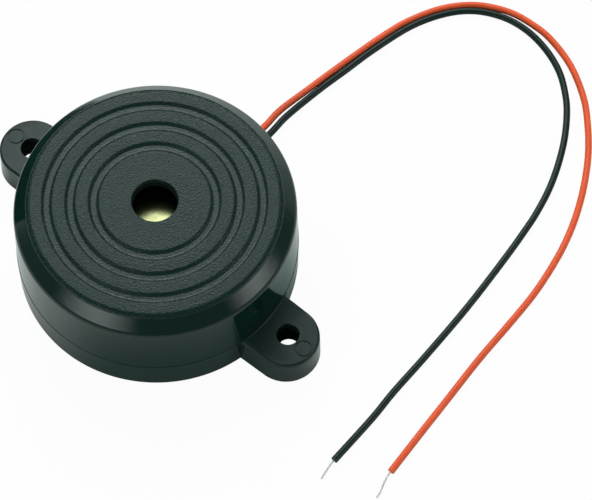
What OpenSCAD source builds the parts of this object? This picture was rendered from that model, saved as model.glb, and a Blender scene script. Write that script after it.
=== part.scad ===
// Piezo buzzer in a round case with two mounting lugs and two flying leads.
// Millimetres. Z is up. The origin is the centre of the case at the surface that it stands on.
// The lugs point along X, and the leads leave through the wall at +Y.

/* [Case] */
// Diameter of the wall just below the chamfer
case_d = 42.7; // [42:0.1:50]
// Height of the case
case_h = 18.3; // [17.8:0.1:24]
// Growth of the wall's radius from the chamfer down to the band
wall_draft = 0.35; // [0:0.05:1.2]
// Height of the straight band at the foot of the wall
band_h = 5.6; // [5.4:0.1:7]
// Step where the drafted wall meets the band
band_step = 0.05; // [0.02:0.01:0.1]
// Width of the chamfer round the top face
chamfer_w = 2.35; // [1.6:0.05:2.6]
// Height of the chamfer round the top face
chamfer_h = 2.45; // [1.6:0.05:2.5]
// Radius that softens both edges of the chamfer
chamfer_edge_r = 1.3; // [0.3:0.1:1.5]
// Thickness of the wall just below the chamfer
wall_t = 2.05; // [1.75:0.05:2.35]
// Thickness of the top
top_t = 2; // [1.5:0.1:2.5]
// Diameter of the sound hole
sound_hole_d = 6.9; // [4:0.1:9]

/* [Ring grooves] */
// Number of grooves in the top face
groove_count = 3; // [1:1:3]
// Plain rim of the top face outside the outermost groove
groove_rim = 2.05; // [1.7:0.05:2.9]
// Distance from one groove to the next
groove_pitch = 3.5; // [2.5:0.1:3.6]
// Width of a groove at half its depth
groove_w = 1.2; // [0.8:0.1:1.5]
// How far a groove's side leans, from floor to mouth
groove_lean = 0.3; // [0.1:0.05:0.4]
// Depth of a groove
groove_depth = 0.45; // [0.2:0.05:0.8]

/* [Lugs] */
// Distance from the foot of the wall to the centre of a lug's hole
lug_reach = 3.85; // [3.5:0.05:8]
// Diameter of the hole in a lug
lug_hole_d = 3.5; // [2.5:0.1:4.5]
// Thickness of a lug
lug_t = 5.3; // [3:0.1:5.4]
// Radius of a lug's tip at the foot
lug_tip_r = 5.3; // [4.5:0.1:6]
// Half the width of a lug at the wall
lug_root_r = 5.5; // [4.5:0.1:6.5]
// How much narrower a lug is at its top, on each side
lug_draft = 0.2; // [0:0.1:0.6]
// Radius of a lug's top edge
lug_edge_r = 0.4; // [0.1:0.1:0.5]
// Plain edge between a mould mark and the lug's rim
mark_edge = 0.4; // [0.05:0.05:0.5]
// Diameter of a mould mark
mark_d = 2.7; // [1.5:0.1:2.8]
// Width of a mould mark's line
mark_line = 0.15; // [0.1:0.05:0.3]
// Depth of a mould mark's line
mark_depth = 0.1; // [0.05:0.05:0.2]

/* [Back cover] */
// Thickness of the back cover
cover_t = 1.5; // [1:0.1:2]
// How far the cover lies inside the foot
cover_recess = 0.3; // [0:0.1:0.6]
// Width of the ledge that stops the cover
cover_ledge = 0.8; // [0.5:0.1:0.9]
// Number of posts that hold the board up to its ribs
post_count = 4; // [3:1:4]
// Diameter of a post
post_d = 2.2; // [1.5:0.1:2.4]

/* [Diaphragm] */
// Gap between the brass plate's edge and the wall
plate_gap = 1.8; // [1.6:0.1:2.8]
// Thickness of the brass plate
plate_t = 0.3; // [0.2:0.05:0.4]
// Depth of the plate below the top face
plate_drop = 5.3; // [4.5:0.1:5.4]
// Width of the plate's edge that lies on the seat ring
plate_seat = 1.5; // [1:0.1:2]
// How far the seat ring stands out past the plate
seat_margin = 0.4; // [0.3:0.1:0.6]
// How far the silicone bead covers the plate's edge
bead_cover = 0.7; // [0.4:0.1:0.9]
// Thickness of the silicone bead
bead_t = 0.4; // [0.2:0.05:0.6]
// Bare brass between the ceramic disc and the seat ring
brass_margin = 3.5; // [3:0.1:4.5]
// Thickness of the ceramic disc
ceramic_t = 0.25; // [0.15:0.05:0.3]
// Thickness of the silver electrodes
electrode_t = 0.05; // [0.03:0.01:0.08]
// Bare edge of ceramic round the main electrode
electrode_margin = 0.8; // [0.4:0.1:1.5]
// Width of the feedback electrode's tongue
tongue_w = 4; // [3:0.1:5]
// Length of the tongue from the rim of the main electrode
tongue_l = 7.5; // [6:0.5:9]
// Bare gap between the two electrodes
tongue_gap = 0.6; // [0.3:0.1:1]
// Direction of the tongue
tongue_angle = -60; // [-65:1:-55]

/* [Board] */
// Height of the board's underside
board_z = 5; // [4.8:0.1:5.2]
// Thickness of the board
board_t = 1.2; // [0.8:0.1:1.6]
// Number of ribs that the board is held against
rib_count = 6; // [3:1:8]
// Width of a rib
rib_w = 1.4; // [0.8:0.1:2]
// Thickness of the copper
copper_t = 0.07; // [0.03:0.01:0.1]
// Width of a copper track
track_w = 0.8; // [0.4:0.1:1]
// Radius of a copper pad
pad_r = 1; // [0.8:0.1:1.1]
// Height of a solder joint
solder_h = 0.8; // [0.5:0.1:0.9]
// Copper left bare round a solder joint
solder_inset = 0.2; // [0.1:0.05:0.3]

/* [Parts on the board] */
// Diameter of a component's wire
wire_d = 0.5; // [0.4:0.05:0.6]
// Length of a resistor's body
resistor_l = 6.3; // [5:0.1:7]
// Diameter of a resistor's ends
resistor_d = 2.4; // [1.8:0.1:2.6]
// Distance between a resistor's holes
resistor_pitch = 10; // [9.5:0.5:10]
// Length of the diode's body
diode_l = 4; // [3:0.1:4.2]
// Diameter of the diode's body
diode_d = 1.9; // [1.5:0.1:2.2]
// Distance between the diode's holes
diode_pitch = 7.6; // [7:0.1:8]
// Diameter of the transistor's body
transistor_d = 4.8; // [4:0.1:5]
// Length of the transistor's body
transistor_l = 4.6; // [4:0.1:5]
// Distance from the transistor's middle to its flat
transistor_flat = 1.3; // [1:0.1:1.5]
// Distance between the transistor's legs
transistor_pitch = 1.27; // [1.2:0.01:1.4]
// Width of a transistor leg
transistor_leg = 0.45; // [0.35:0.05:0.5]
// Diameter of the choke's flanges
choke_d = 6.4; // [5:0.1:7]
// Gap between the choke and the diaphragm
choke_gap = 1.1; // [0.9:0.1:1.9]
// Thickness of a choke flange
choke_flange_t = 0.8; // [0.5:0.1:1.2]
// Diameter of the choke's hub
choke_hub_d = 2.8; // [2:0.1:3.4]
// Depth of the winding below the rim of the flanges
choke_winding_drop = 0.4; // [0.1:0.1:0.8]
// Distance between the choke's pins
choke_pitch = 4; // [3:0.1:4.4]

/* [Leads] */
// Diameter of a lead over its insulation
lead_d = 1.1; // [0.9:0.05:1.2]
// Diameter of a lead's conductor
core_d = 0.3; // [0.2:0.05:0.5]
// Distance between the leads where they pass through the wall
lead_pitch = 1.6; // [1.3:0.05:1.8]
// Height of the leads where they pass through the wall
exit_z = 3.2; // [2.9:0.1:3.5]
// Thickness of the sealant round the leads in the wall
seal_margin = 0.3; // [0.2:0.05:0.4]
// How far the sealant reaches in past the wall
seal_inside = 1.5; // [0.5:0.1:1.6]
// How far the sealant stops short of the wall's outside
seal_recess = 0.25; // [0.1:0.05:0.5]
// Length of conductor left bare between a lead's insulation and its pad
core_bare = 1.4; // [1:0.1:2]
// How far a lead runs on straight past each side of the wall
lead_straight = 0.3; // [0.2:0.05:0.5]
// Length of the straight bare conductor beyond a lead's insulation
bare_straight = 0.6; // [0.4:0.1:0.8]
// Diameter of the fine wires to the diaphragm
fine_wire_d = 0.5; // [0.3:0.05:0.6]

/* [Hidden] */
$fn = 96;

// Tiny overlap that makes cuts and joined solids clean
eps = 0.01;
// Clearance between pieces that are pushed together
fit_gap = 0.1;
// Clearance round wires and leads in their holes
wire_gap = 0.02;
// Straight steps in a rounded edge of a turned profile
arc_steps = 4;
// How much wider a solder joint's tip is than its wire, on each side
solder_tip = 0.15;
// How far a wire stands out of its solder
wire_stub = 0.1;
// How far a rib reaches into the seat ring or the wall
rib_root = 0.3;
// How far a fine wire or a conductor goes into the board, or out of its top
wire_reach = 0.3;

case_r = case_d / 2;
band_r = case_r + wall_draft + band_step;
face_r = case_r - chamfer_w;
chamfer_z = case_h - chamfer_h;
cavity_r = case_r - wall_t;
cavity_top = case_h - top_t;
cover_top = cover_recess + cover_t;
cover_bore_r = cavity_r + cover_ledge;
hole_x = band_r + lug_reach;
// Middle radius of the innermost groove
groove_first_r = face_r - groove_rim - (groove_w + groove_lean) / 2 - (groove_count - 1) * groove_pitch;

plate_r = cavity_r - plate_gap;
seat_in_r = plate_r - plate_seat;
seat_out_r = plate_r + seat_margin;
bead_out_r = seat_out_r - fit_gap;
ceramic_r = seat_in_r - brass_margin;
electrode_r = ceramic_r - electrode_margin;
plate_z = case_h - plate_drop;
ceramic_z = plate_z - plate_t;
electrode_z = ceramic_z - ceramic_t;
electrode_low = electrode_z - electrode_t;

board_r = cavity_r - fit_gap;
board_top = board_z + board_t;
choke_h = electrode_low - choke_gap - board_top;
solder_z = board_z - copper_t - solder_h;
small_pad_r = (transistor_pitch - solder_inset) / 2;
wire_end_z = solder_z - wire_stub;
post_r = seat_out_r - post_d / 2;

exit_r = lead_d / 2 + seal_margin;
seal_in_r = cavity_r - seal_inside;
seal_out_r = band_r - seal_recess;
mark_x = hole_x + lug_tip_r - lug_draft - mark_edge - mark_d / 2;
core_r = core_d / 2;
lead_r = lead_d / 2;

// Unit that places on the board are given in: the board's radius is 19.2 of them
spread = board_r / 19.2;
// Places of the parts on the board, and their directions
resistor_places = [spot(0, -11, 0), spot(-3, -6.5, 0), spot(3.5, 3, 90)];
diode_place = spot(9.5, 6, 90);
choke_place = spread * [9, -5];
transistor_place = spread * [-9, -0.5];
// How far the transistor's legs run before they turn down
transistor_run = 1.2;
transistor_bend = 0.6;
// Radius of the bends in the other wires
wire_bend = 0.8;
// Length of a resistor's thick ends, and how much thinner it is between them
resistor_cap = 1.4;
resistor_waist = 0.15;
// Bevel at the diode's ends
diode_edge = 0.3;

// Where the fine wires leave the board, and where they land on the diaphragm
plate_wire_hole = spread * [-13, -4];
plate_wire_r = (ceramic_r + seat_in_r) / 2;
plate_wire_end = [-plate_wire_r, 0];
electrode_wire_hole = spread * [-4, 0];
electrode_wire_end = spread * [-5, 3];
feedback_wire_hole = spread * [4, -8];
feedback_wire_r = electrode_r - tongue_l / 2;
feedback_wire_end = feedback_wire_r * [cos(tongue_angle), sin(tongue_angle)];
landing_h = 0.7;
landing_low_r = 0.5;
landing_top_r = 1;
landing_z = electrode_low - landing_h;
fine_wire_bow = 0.8;
fine_wire_straight = 0.6;

// Where the leads' conductors go up into the board
red_pad = spread * [-2, 10.6];
black_pad = spread * [2, 10.6];

transistor_axis_z = board_top + transistor_flat;
transistor_face_y = transistor_place[1] + transistor_run;

resistor_holes = [
    for (place = resistor_places)
        for (side = [-1, 1])
            along(place, side * resistor_pitch / 2)
];
diode_holes = [for (side = [-1, 1]) along(diode_place, side * diode_pitch / 2)];
choke_holes = [for (side = [-1, 1]) choke_place + [side * choke_pitch / 2, 0]];
transistor_holes = [for (i = [-1:1]) transistor_place + [i * transistor_pitch, 0]];
fine_holes = [plate_wire_hole, electrode_wire_hole, feedback_wire_hole];
core_holes = [red_pad, black_pad];
wide_holes = concat(resistor_holes, diode_holes, choke_holes);

// Copper tracks from hole to hole, on the underside of the board
tracks = [
    [red_pad, spread * [-2, 13], spread * [8.2, 13], diode_holes[1]],
    [black_pad, spread * [3.5, 9.4], resistor_holes[5], spread * [1, 6.6],
        spread * [-11, 6.6], spread * [-12.6, 3], transistor_holes[0], plate_wire_hole],
    [diode_holes[0], spread * [13.4, -1.6], choke_holes[1], spread * [9.6, -9.4],
        resistor_holes[1]],
    [choke_holes[0], resistor_holes[4], spread * [-1.4, -3], electrode_wire_hole,
        transistor_holes[2]],
    [resistor_holes[0], resistor_holes[2], transistor_holes[1]],
    [resistor_holes[3], feedback_wire_hole]
];

// Each lead's way over the surface that the case stands on, as X and the distance past the wall
floor_z = lead_r;
red_floor = [
    [-1.15, 10.25], [-0.1, 15.75], [0.97, 21.25], [2.02, 26.25], [3.15, 31.2], [4.66, 36.2],
    [7.58, 41.71], [11.53, 45.71], [16.55, 48.05], [21.55, 48.5], [25.45, 47.95], [30.5, 46],
    [35.5, 42.5], [38.9, 38.85], [41.85, 34.9], [44.4, 30.4], [46.4, 25.9], [47.9, 21.4],
    [49, 16.4], [49.8, 9.4], [49.85, 1.9], [49.75, -5.1], [50, -14.1], [50.15, -20.1],
    [50.4, -28.05]
];
black_floor = [
    [0.35, 10.25], [1.4, 17.25], [2.5, 22.75], [3.58, 28.25], [5.62, 35.66], [8.58, 41.17],
    [12.09, 44.68], [16.5, 46.65], [21, 47], [25.5, 46], [29.5, 44.05], [32.7, 41.3],
    [35, 38.55], [37.45, 34.5], [39.45, 29.95], [40.9, 25.45], [41.8, 20.95], [42.2, 17.45],
    [42.65, 11.45], [43.1, 0.95], [43.05, -10.05], [42.85, -17.5], [42.95, -23], [42.65, -31.95]
];
red_route = concat(
    lead_inside(red_pad, -1),
    [[-1, band_r + 3.25, 1.8], [-1.2, band_r + 6.75, floor_z + 0.1]],
    on_floor(red_floor)
);
black_route = concat(
    lead_inside(black_pad, 1),
    [[0.6, band_r + 3.25, 1.8], [0.3, band_r + 6.75, floor_z + 0.1]],
    on_floor(black_floor)
);
// Bends of each conductor beyond its insulation: X and Y from the insulation's end, and the height
red_tip = core_tip(
    red_route,
    [[0.1, -1.2, 0.5], [0.3, -2.15, 0.4], [0.65, -3.25, 0.4], [0.8, -3.9, 0.4], [0.85, -4.6, 0.4]]
);
black_tip = core_tip(black_route, [[0.1, -1.9, 0.5], [0.3, -3.5, 0.4]]);
red_inner = core_climb(red_route[0], red_pad);
black_inner = core_climb(black_route[0], black_pad);
lead_sides = 8;

// ---- functions ----

// Place and direction of a part on the board
function spot(x, y, angle) = [spread * x, spread * y, angle];

// A point at a signed distance along a part's axis on the board
function along(place, d) = [place[0] + d * cos(place[2]), place[1] + d * sin(place[2])];

// Points of an arc, for a turned profile
function arc(centre, r, from, to) = [
    for (i = [0:arc_steps])
        let (a = from + (to - from) * i / arc_steps)
            centre + r * [cos(a), sin(a)]
];

// Points of a rounded corner between the lines a-b and b-c
function fillet(a, b, c, r) =
    let (
        u = (a - b) / norm(a - b),
        v = (c - b) / norm(c - b),
        half = acos(u * v) / 2,
        reach = r / tan(half),
        centre = b + (u + v) / norm(u + v) * r / sin(half),
        p = b + u * reach - centre,
        q = b + v * reach - centre,
        p_angle = atan2(p[1], p[0]),
        turn = atan2(p[0] * q[1] - p[1] * q[0], p * q)
    )
    arc(centre, r, p_angle, p_angle + turn);

// Profile of one ring groove, from its outer lip to its inner lip
function groove(r) = [
    [r + groove_w / 2 + groove_lean / 2, case_h],
    [r + groove_w / 2 - groove_lean / 2, case_h - groove_depth],
    [r - groove_w / 2 + groove_lean / 2, case_h - groove_depth],
    [r - groove_w / 2 - groove_lean / 2, case_h]
];

// A lead's way from near its pad to the wall, and straight through the sealant
function lead_inside(pad, side) =
    let (
        start = [pad[0], pad[1] + core_bare, exit_z],
        gate = [side * lead_pitch / 2, seal_in_r - lead_straight, exit_z]
    )
    [start, (start + gate) / 2, gate, [gate[0], band_r + lead_straight, exit_z]];

// Points on the surface, from X and the distance past the wall
function on_floor(points) = [for (p = points) [p[0], band_r + p[1], floor_z]];

// The conductor's way from the end of the insulation up into the board
function core_climb(start, pad) = [
    start,
    [pad[0], pad[1] + 0.6, exit_z],
    [pad[0], pad[1] + 0.1, exit_z + 0.4],
    [pad[0], pad[1], exit_z + 1],
    [pad[0], pad[1], board_top + wire_reach]
];

// The conductor's way on from the end of the insulation, straight at first
function core_tip(route, bends) =
    let (
        last = len(route) - 1,
        end = route[last],
        step = (end - route[last - 1]) / norm(end - route[last - 1])
    )
    concat(
        [end, end + bare_straight * step],
        [for (b = bends) [end[0] + b[0], end[1] + b[1], b[2]]]
    );

// A fine wire's way from its hole in the board to its solder on the diaphragm
function fine_wire_route(hole, end) =
    let (
        step = (end - hole) / norm(end - hole),
        rise = landing_z - board_top
    )
    [
        [hole[0], hole[1], board_top - wire_reach],
        [hole[0], hole[1], board_top],
        [hole[0], hole[1], board_top + fine_wire_straight],
        concat(hole - step * fine_wire_bow, board_top + rise * 0.35),
        concat(end - step * fine_wire_bow / 2, board_top + rise * 0.75),
        [end[0], end[1], landing_z - wire_gap]
    ];

// A smooth curve through the points of a route
function at(list, i) = list[max(0, min(len(list) - 1, i))];
function curve_point(a, b, c, d, t) =
    0.5 * (2 * b + (c - a) * t + (2 * a - 5 * b + 4 * c - d) * t * t
        + (3 * b - a - 3 * c + d) * t * t * t);
function smooth(route, steps) = [
    for (i = [0:len(route) - 2])
        for (k = [0:steps - 1])
            curve_point(at(route, i - 1), route[i], route[i + 1], at(route, i + 2), k / steps),
    route[len(route) - 1]
];
function direction(path, i) =
    let (d = at(path, i + 1) - at(path, i - 1))
    d / norm(d);

// ---- shapes that repeat ----

// A round tube swept along a path. flat_dir is never parallel to the path.
module tube(path, r, sides, flat_dir = [0, 0, 1]) {
    rings = len(path);
    points = [
        for (i = [0:rings - 1])
            let (
                d = direction(path, i),
                c = cross(d, flat_dir),
                side = c / norm(c),
                up = cross(side, d)
            )
            for (j = [0:sides - 1])
                let (a = 360 * (j + 0.5) / sides)
                path[i] + r * (cos(a) * side + sin(a) * up)
    ];
    faces = concat(
        [[for (j = [0:sides - 1]) j]],
        [
            for (i = [0:rings - 2])
                for (j = [0:sides - 1])
                    let (k = (j + 1) % sides)
                    each [
                        [i * sides + j, (i + 1) * sides + j, (i + 1) * sides + k],
                        [i * sides + j, (i + 1) * sides + k, i * sides + k]
                    ]
        ],
        [[for (j = [0:sides - 1]) rings * sides - 1 - j]]
    );
    polyhedron(points = points, faces = faces, convexity = 4);
}

// A wire that runs flat along X, bends and goes down
module bent_wire(run, drop, bend, d) {
    rotate([0, 90, 0])
        cylinder(h = run - bend, d = d, $fn = 24);
    translate([run - bend, 0, -bend])
        rotate([90, 0, 0])
            rotate_extrude(angle = 90, $fn = 24)
                translate([bend, 0])
                    circle(d = d, $fn = 24);
    translate([run, 0, -drop])
        cylinder(h = drop - bend, d = d, $fn = 24);
}

// The two wires of a part that lies along X, with its middle at the origin
module axial_wires(body_l, pitch, axis_z) {
    for (side = [0, 180])
        rotate([0, 0, side])
            translate([body_l / 2, 0, axis_z])
                bent_wire((pitch - body_l) / 2, axis_z - wire_end_z, wire_bend, wire_d);
}

// Holes for wires, made where the points say
module holes(points, d, z, h) {
    for (p = points)
        translate([p[0], p[1], z])
            cylinder(h = h, d = d, $fn = 24);
}

// A length of copper from one point to the next
module track(p, q) {
    d = q - p;
    translate(p)
        rotate(atan2(d[1], d[0]))
            translate([0, -track_w / 2])
                square([norm(d), track_w]);
    translate(q)
        circle(d = track_w, $fn = 24);
}

// A lug's post: a drafted round with a softened top edge
module lug_post(r) {
    top_r = r - lug_draft;
    rotate_extrude($fn = 48)
        polygon(concat(
            [[0, 0], [r, 0]],
            fillet([r, 0], [top_r, lug_t], [0, lug_t], lug_edge_r),
            [[0, lug_t]]
        ));
}

module lug_mark() {
    translate([mark_x, 0, lug_t - mark_depth])
        difference() {
            cylinder(h = mark_depth + 1, d = mark_d, $fn = 48);
            translate([0, 0, -1])
                cylinder(h = mark_depth + 3, d = mark_d - 2 * mark_line, $fn = 48);
        }
}

// The opening for the leads, as wide as asked
module exit_slot(r) {
    translate([0, 0, exit_z])
        rotate([-90, 0, 0])
            linear_extrude(height = band_r + 1) {
                for (side = [-1, 1])
                    translate([side * lead_pitch / 2, 0])
                        circle(r = r, $fn = 48);
                square([lead_pitch, 2 * r], center = true);
            }
}

// A ring between two radii
module ring(in_r, out_r, h) {
    difference() {
        cylinder(h = h, r = out_r);
        translate([0, 0, -1])
            cylinder(h = h + 2, r = in_r);
    }
}

// ---- case ----

module case_outside() {
    rotate_extrude($fn = 180)
        polygon(concat(
            [[0, 0], [band_r, 0], [band_r, band_h], [band_r - band_step, band_h]],
            fillet([band_r - band_step, band_h], [case_r, chamfer_z], [face_r, case_h], chamfer_edge_r),
            fillet([case_r, chamfer_z], [face_r, case_h], [0, case_h], chamfer_edge_r),
            [for (i = [groove_count - 1:-1:0]) each groove(groove_first_r + i * groove_pitch)],
            [[0, case_h]]
        ));
}

module case_inside() {
    translate([0, 0, -1])
        cylinder(h = cavity_top + 1, r = cavity_r);
    translate([0, 0, -1])
        cylinder(h = cover_top + 1, r = cover_bore_r);
    cylinder(h = case_h + 1, d = sound_hole_d);
}

module housing() {
    color("#2c3131") {
        difference() {
            union() {
                case_outside();
                for (side = [0, 180])
                    rotate([0, 0, side])
                        hull() {
                            translate([hole_x, 0, 0])
                                lug_post(lug_tip_r);
                            translate([band_r - lug_root_r, 0, 0])
                                lug_post(lug_root_r);
                        }
            }
            case_inside();
            exit_slot(exit_r);
            for (side = [0, 180])
                rotate([0, 0, side]) {
                    translate([hole_x, 0, -1])
                        cylinder(h = lug_t + 2, d = lug_hole_d, $fn = 64);
                    lug_mark();
                }
        }
        // Seat ring for the diaphragm
        translate([0, 0, plate_z])
            ring(seat_in_r, seat_out_r, cavity_top - plate_z + eps);
        // Ribs that the board is held against
        for (i = [0:rib_count - 1])
            rotate([0, 0, 360 * i / rib_count])
                translate([seat_out_r, -rib_w / 2, board_top])
                    cube([cavity_r - seat_out_r + rib_root, rib_w, plate_z - board_top]);
        for (i = [0:rib_count - 1])
            rotate([0, 0, 360 * i / rib_count])
                translate([seat_out_r - rib_root, -rib_w / 2, plate_z])
                    cube([cavity_r - seat_out_r + 2 * rib_root, rib_w, cavity_top - plate_z + eps]);
    }
}

module back_cover() {
    color("#262a2a") {
        translate([0, 0, cover_recess])
            cylinder(h = cover_t, r = cover_bore_r - fit_gap);
        for (i = [0:post_count - 1])
            rotate([0, 0, 45 + 360 * i / post_count])
                translate([post_r, 0, cover_top - eps])
                    cylinder(h = board_z - cover_top + eps, d = post_d, $fn = 32);
    }
}

// ---- diaphragm ----

module diaphragm_plate() {
    color("#d9c98a")
        translate([0, 0, ceramic_z])
            cylinder(h = plate_t, r = plate_r);
}

module piezo_ceramic() {
    color("#d8d3c4")
        translate([0, 0, electrode_z])
            cylinder(h = ceramic_t, r = ceramic_r);
}

// The tongue, or the gap round it, in the plane of the electrodes
module tongue(grow) {
    rotate(tongue_angle) {
        translate([electrode_r - tongue_l + tongue_w / 2, 0])
            circle(r = tongue_w / 2 + grow, $fn = 48);
        translate([electrode_r - tongue_l + tongue_w / 2, -tongue_w / 2 - grow])
            square([2 * ceramic_r, tongue_w + 2 * grow]);
    }
}

module main_electrode() {
    color("#c9cbcb")
        translate([0, 0, electrode_low])
            difference() {
                cylinder(h = electrode_t, r = electrode_r);
                translate([0, 0, -1])
                    linear_extrude(height = electrode_t + 2)
                        tongue(tongue_gap);
            }
}

module feedback_electrode() {
    color("#c9cbcb")
        translate([0, 0, electrode_low])
            intersection() {
                cylinder(h = electrode_t, r = electrode_r);
                translate([0, 0, -1])
                    linear_extrude(height = electrode_t + 2)
                        tongue(0);
            }
}

// Bead that covers the plate's edge and holds it to the seat ring
module diaphragm_seal() {
    color("#e8e6e0")
        rotate_extrude()
            polygon([
                [plate_r, plate_z],
                [plate_r, ceramic_z],
                [plate_r - bead_cover, ceramic_z],
                [plate_r - bead_cover / 2, ceramic_z - bead_t],
                [bead_out_r, ceramic_z - bead_t],
                [bead_out_r, plate_z]
            ]);
}

// One spot of solder from the diaphragm down to its wire
module landing(end, top_z) {
    translate([end[0], end[1], landing_z])
        cylinder(h = top_z - landing_z, r1 = landing_low_r, r2 = landing_top_r, $fn = 32);
}

module diaphragm_solder() {
    color("#b9bcbc") {
        landing(plate_wire_end, ceramic_z);
        landing(electrode_wire_end, electrode_low);
        landing(feedback_wire_end, electrode_low);
    }
}

module fine_wire(hole, end) {
    tube(smooth(fine_wire_route(hole, end), 4), fine_wire_d / 2, lead_sides, [0.8, -0.6, 0]);
}

module plate_wire() {
    color("#2a2e2e")
        fine_wire(plate_wire_hole, plate_wire_end);
}

module electrode_wire() {
    color("#c8402c")
        fine_wire(electrode_wire_hole, electrode_wire_end);
}

module feedback_wire() {
    color("#2f5fa8")
        fine_wire(feedback_wire_hole, feedback_wire_end);
}

// ---- circuit board ----

module circuit_board() {
    color("#b08a4a")
        difference() {
            translate([0, 0, board_z])
                cylinder(h = board_t, r = board_r);
            holes(wide_holes, wire_d + 2 * wire_gap, board_z - 1, board_t + 2);
            holes(transistor_holes, transistor_leg + 2 * wire_gap, board_z - 1, board_t + 2);
            holes(fine_holes, fine_wire_d + 2 * wire_gap, board_z - 1, board_t + 2);
            holes(core_holes, core_d + 2 * wire_gap, board_z - 1, board_t + 2);
        }
}

module copper_tracks() {
    color("#c07a3c")
        difference() {
            translate([0, 0, board_z - copper_t])
                linear_extrude(height = copper_t) {
                    for (line = tracks)
                        for (i = [0:len(line) - 2])
                            track(line[i], line[i + 1]);
                    for (p = concat(wide_holes, fine_holes, core_holes))
                        translate(p)
                            circle(r = pad_r, $fn = 32);
                    for (p = transistor_holes)
                        translate(p)
                            circle(r = small_pad_r, $fn = 32);
                }
            holes(wide_holes, wire_d + 2 * wire_gap, board_z - 1, 2);
            holes(transistor_holes, transistor_leg + 2 * wire_gap, board_z - 1, 2);
            holes(fine_holes, fine_wire_d + 2 * wire_gap, board_z - 1, 2);
            holes(core_holes, core_d + 2 * wire_gap, board_z - 1, 2);
        }
}

// Solder from the copper down round each wire
module solder_cone(p, r, hole_d) {
    translate([p[0], p[1], solder_z])
        difference() {
            cylinder(h = solder_h, r1 = hole_d / 2 + solder_tip, r2 = r, $fn = 32);
            translate([0, 0, -1])
                cylinder(h = solder_h + 2, d = hole_d, $fn = 24);
        }
}

module solder_joints() {
    color("#b9bcbc") {
        for (p = wide_holes)
            solder_cone(p, pad_r - solder_inset, wire_d);
        for (p = core_holes)
            solder_cone(p, pad_r - solder_inset, core_d);
        for (p = fine_holes)
            translate([p[0], p[1], solder_z])
                cylinder(h = solder_h, r1 = fine_wire_d / 2, r2 = pad_r - solder_inset, $fn = 32);
        for (p = transistor_holes)
            solder_cone(p, small_pad_r, transistor_leg);
    }
}

// ---- parts on the board ----

module transistor() {
    color("#202323")
        translate([transistor_place[0], transistor_face_y, transistor_axis_z])
            rotate([-90, 0, 0])
                difference() {
                    cylinder(h = transistor_l, d = transistor_d, $fn = 48);
                    translate([-transistor_d, transistor_flat, -1])
                        cube([2 * transistor_d, transistor_d, transistor_l + 2]);
                }
}

module transistor_legs() {
    color("#b9bcbc")
        for (p = transistor_holes)
            translate([p[0], transistor_face_y, transistor_axis_z])
                rotate([0, 0, -90])
                    bent_wire(transistor_run, transistor_axis_z - wire_end_z, transistor_bend,
                        transistor_leg);
}

module resistor_body(place) {
    r = resistor_d / 2;
    waist = r - resistor_waist;
    half = resistor_l / 2;
    shoulder = half - resistor_cap;
    slope = resistor_cap / 4;
    color("#c9b48a")
        translate([place[0], place[1], board_top + r])
            rotate([0, 0, place[2]])
                rotate([0, 90, 0])
                    rotate_extrude($fn = 48)
                        polygon([
                            [0, -half], [r - slope, -half], [r, -half + slope],
                            [r, -shoulder - slope], [waist, -shoulder], [waist, shoulder],
                            [r, shoulder + slope], [r, half - slope], [r - slope, half], [0, half]
                        ]);
}

module resistor_wires(place) {
    color("#b9bcbc")
        translate([place[0], place[1], 0])
            rotate([0, 0, place[2]])
                axial_wires(resistor_l, resistor_pitch, board_top + resistor_d / 2);
}

module resistor_1() {
    resistor_body(resistor_places[0]);
}

module resistor_2() {
    resistor_body(resistor_places[1]);
}

module resistor_3() {
    resistor_body(resistor_places[2]);
}

module resistor_1_wires() {
    resistor_wires(resistor_places[0]);
}

module resistor_2_wires() {
    resistor_wires(resistor_places[1]);
}

module resistor_3_wires() {
    resistor_wires(resistor_places[2]);
}

module diode() {
    r = diode_d / 2;
    half = diode_l / 2;
    color("#9c4a30")
        translate([diode_place[0], diode_place[1], board_top + r])
            rotate([0, 0, diode_place[2]])
                rotate([0, 90, 0])
                    rotate_extrude($fn = 48)
                        polygon([
                            [0, -half], [r - diode_edge, -half], [r, -half + diode_edge],
                            [r, half - diode_edge], [r - diode_edge, half], [0, half]
                        ]);
}

module diode_wires() {
    color("#b9bcbc")
        translate([diode_place[0], diode_place[1], 0])
            rotate([0, 0, diode_place[2]])
                axial_wires(diode_l, diode_pitch, board_top + diode_d / 2);
}

module choke_core() {
    flange_r = choke_d / 2;
    hub_r = choke_hub_d / 2;
    color("#3c3f42")
        translate([choke_place[0], choke_place[1], board_top])
            rotate_extrude($fn = 64)
                polygon([
                    [0, 0], [flange_r, 0], [flange_r, choke_flange_t], [hub_r, choke_flange_t],
                    [hub_r, choke_h - choke_flange_t], [flange_r, choke_h - choke_flange_t],
                    [flange_r, choke_h], [0, choke_h]
                ]);
}

module choke_winding() {
    winding_h = choke_h - 2 * choke_flange_t;
    color("#b5622e")
        translate([choke_place[0], choke_place[1], board_top + choke_flange_t])
            ring(choke_hub_d / 2, choke_d / 2 - choke_winding_drop, winding_h);
}

module choke_pins() {
    color("#b9bcbc")
        for (p = choke_holes)
            translate([p[0], p[1], wire_end_z])
                cylinder(h = board_top - wire_end_z, d = wire_d, $fn = 24);
}

// ---- leads ----

module lead_seal() {
    color("#1f2222")
        difference() {
            intersection() {
                exit_slot(exit_r);
                translate([0, 0, exit_z - exit_r - 1])
                    ring(seal_in_r, seal_out_r, 2 * exit_r + 2);
            }
            for (side = [-1, 1])
                translate([side * lead_pitch / 2, 0, exit_z])
                    rotate([-90, 0, 0])
                        cylinder(h = band_r + 1, d = lead_d + 2 * wire_gap, $fn = 32);
        }
}

module red_lead() {
    color("#e2542f")
        tube(red_route, lead_r, lead_sides);
}

module black_lead() {
    color("#1e2b2a")
        tube(black_route, lead_r, lead_sides);
}

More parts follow.
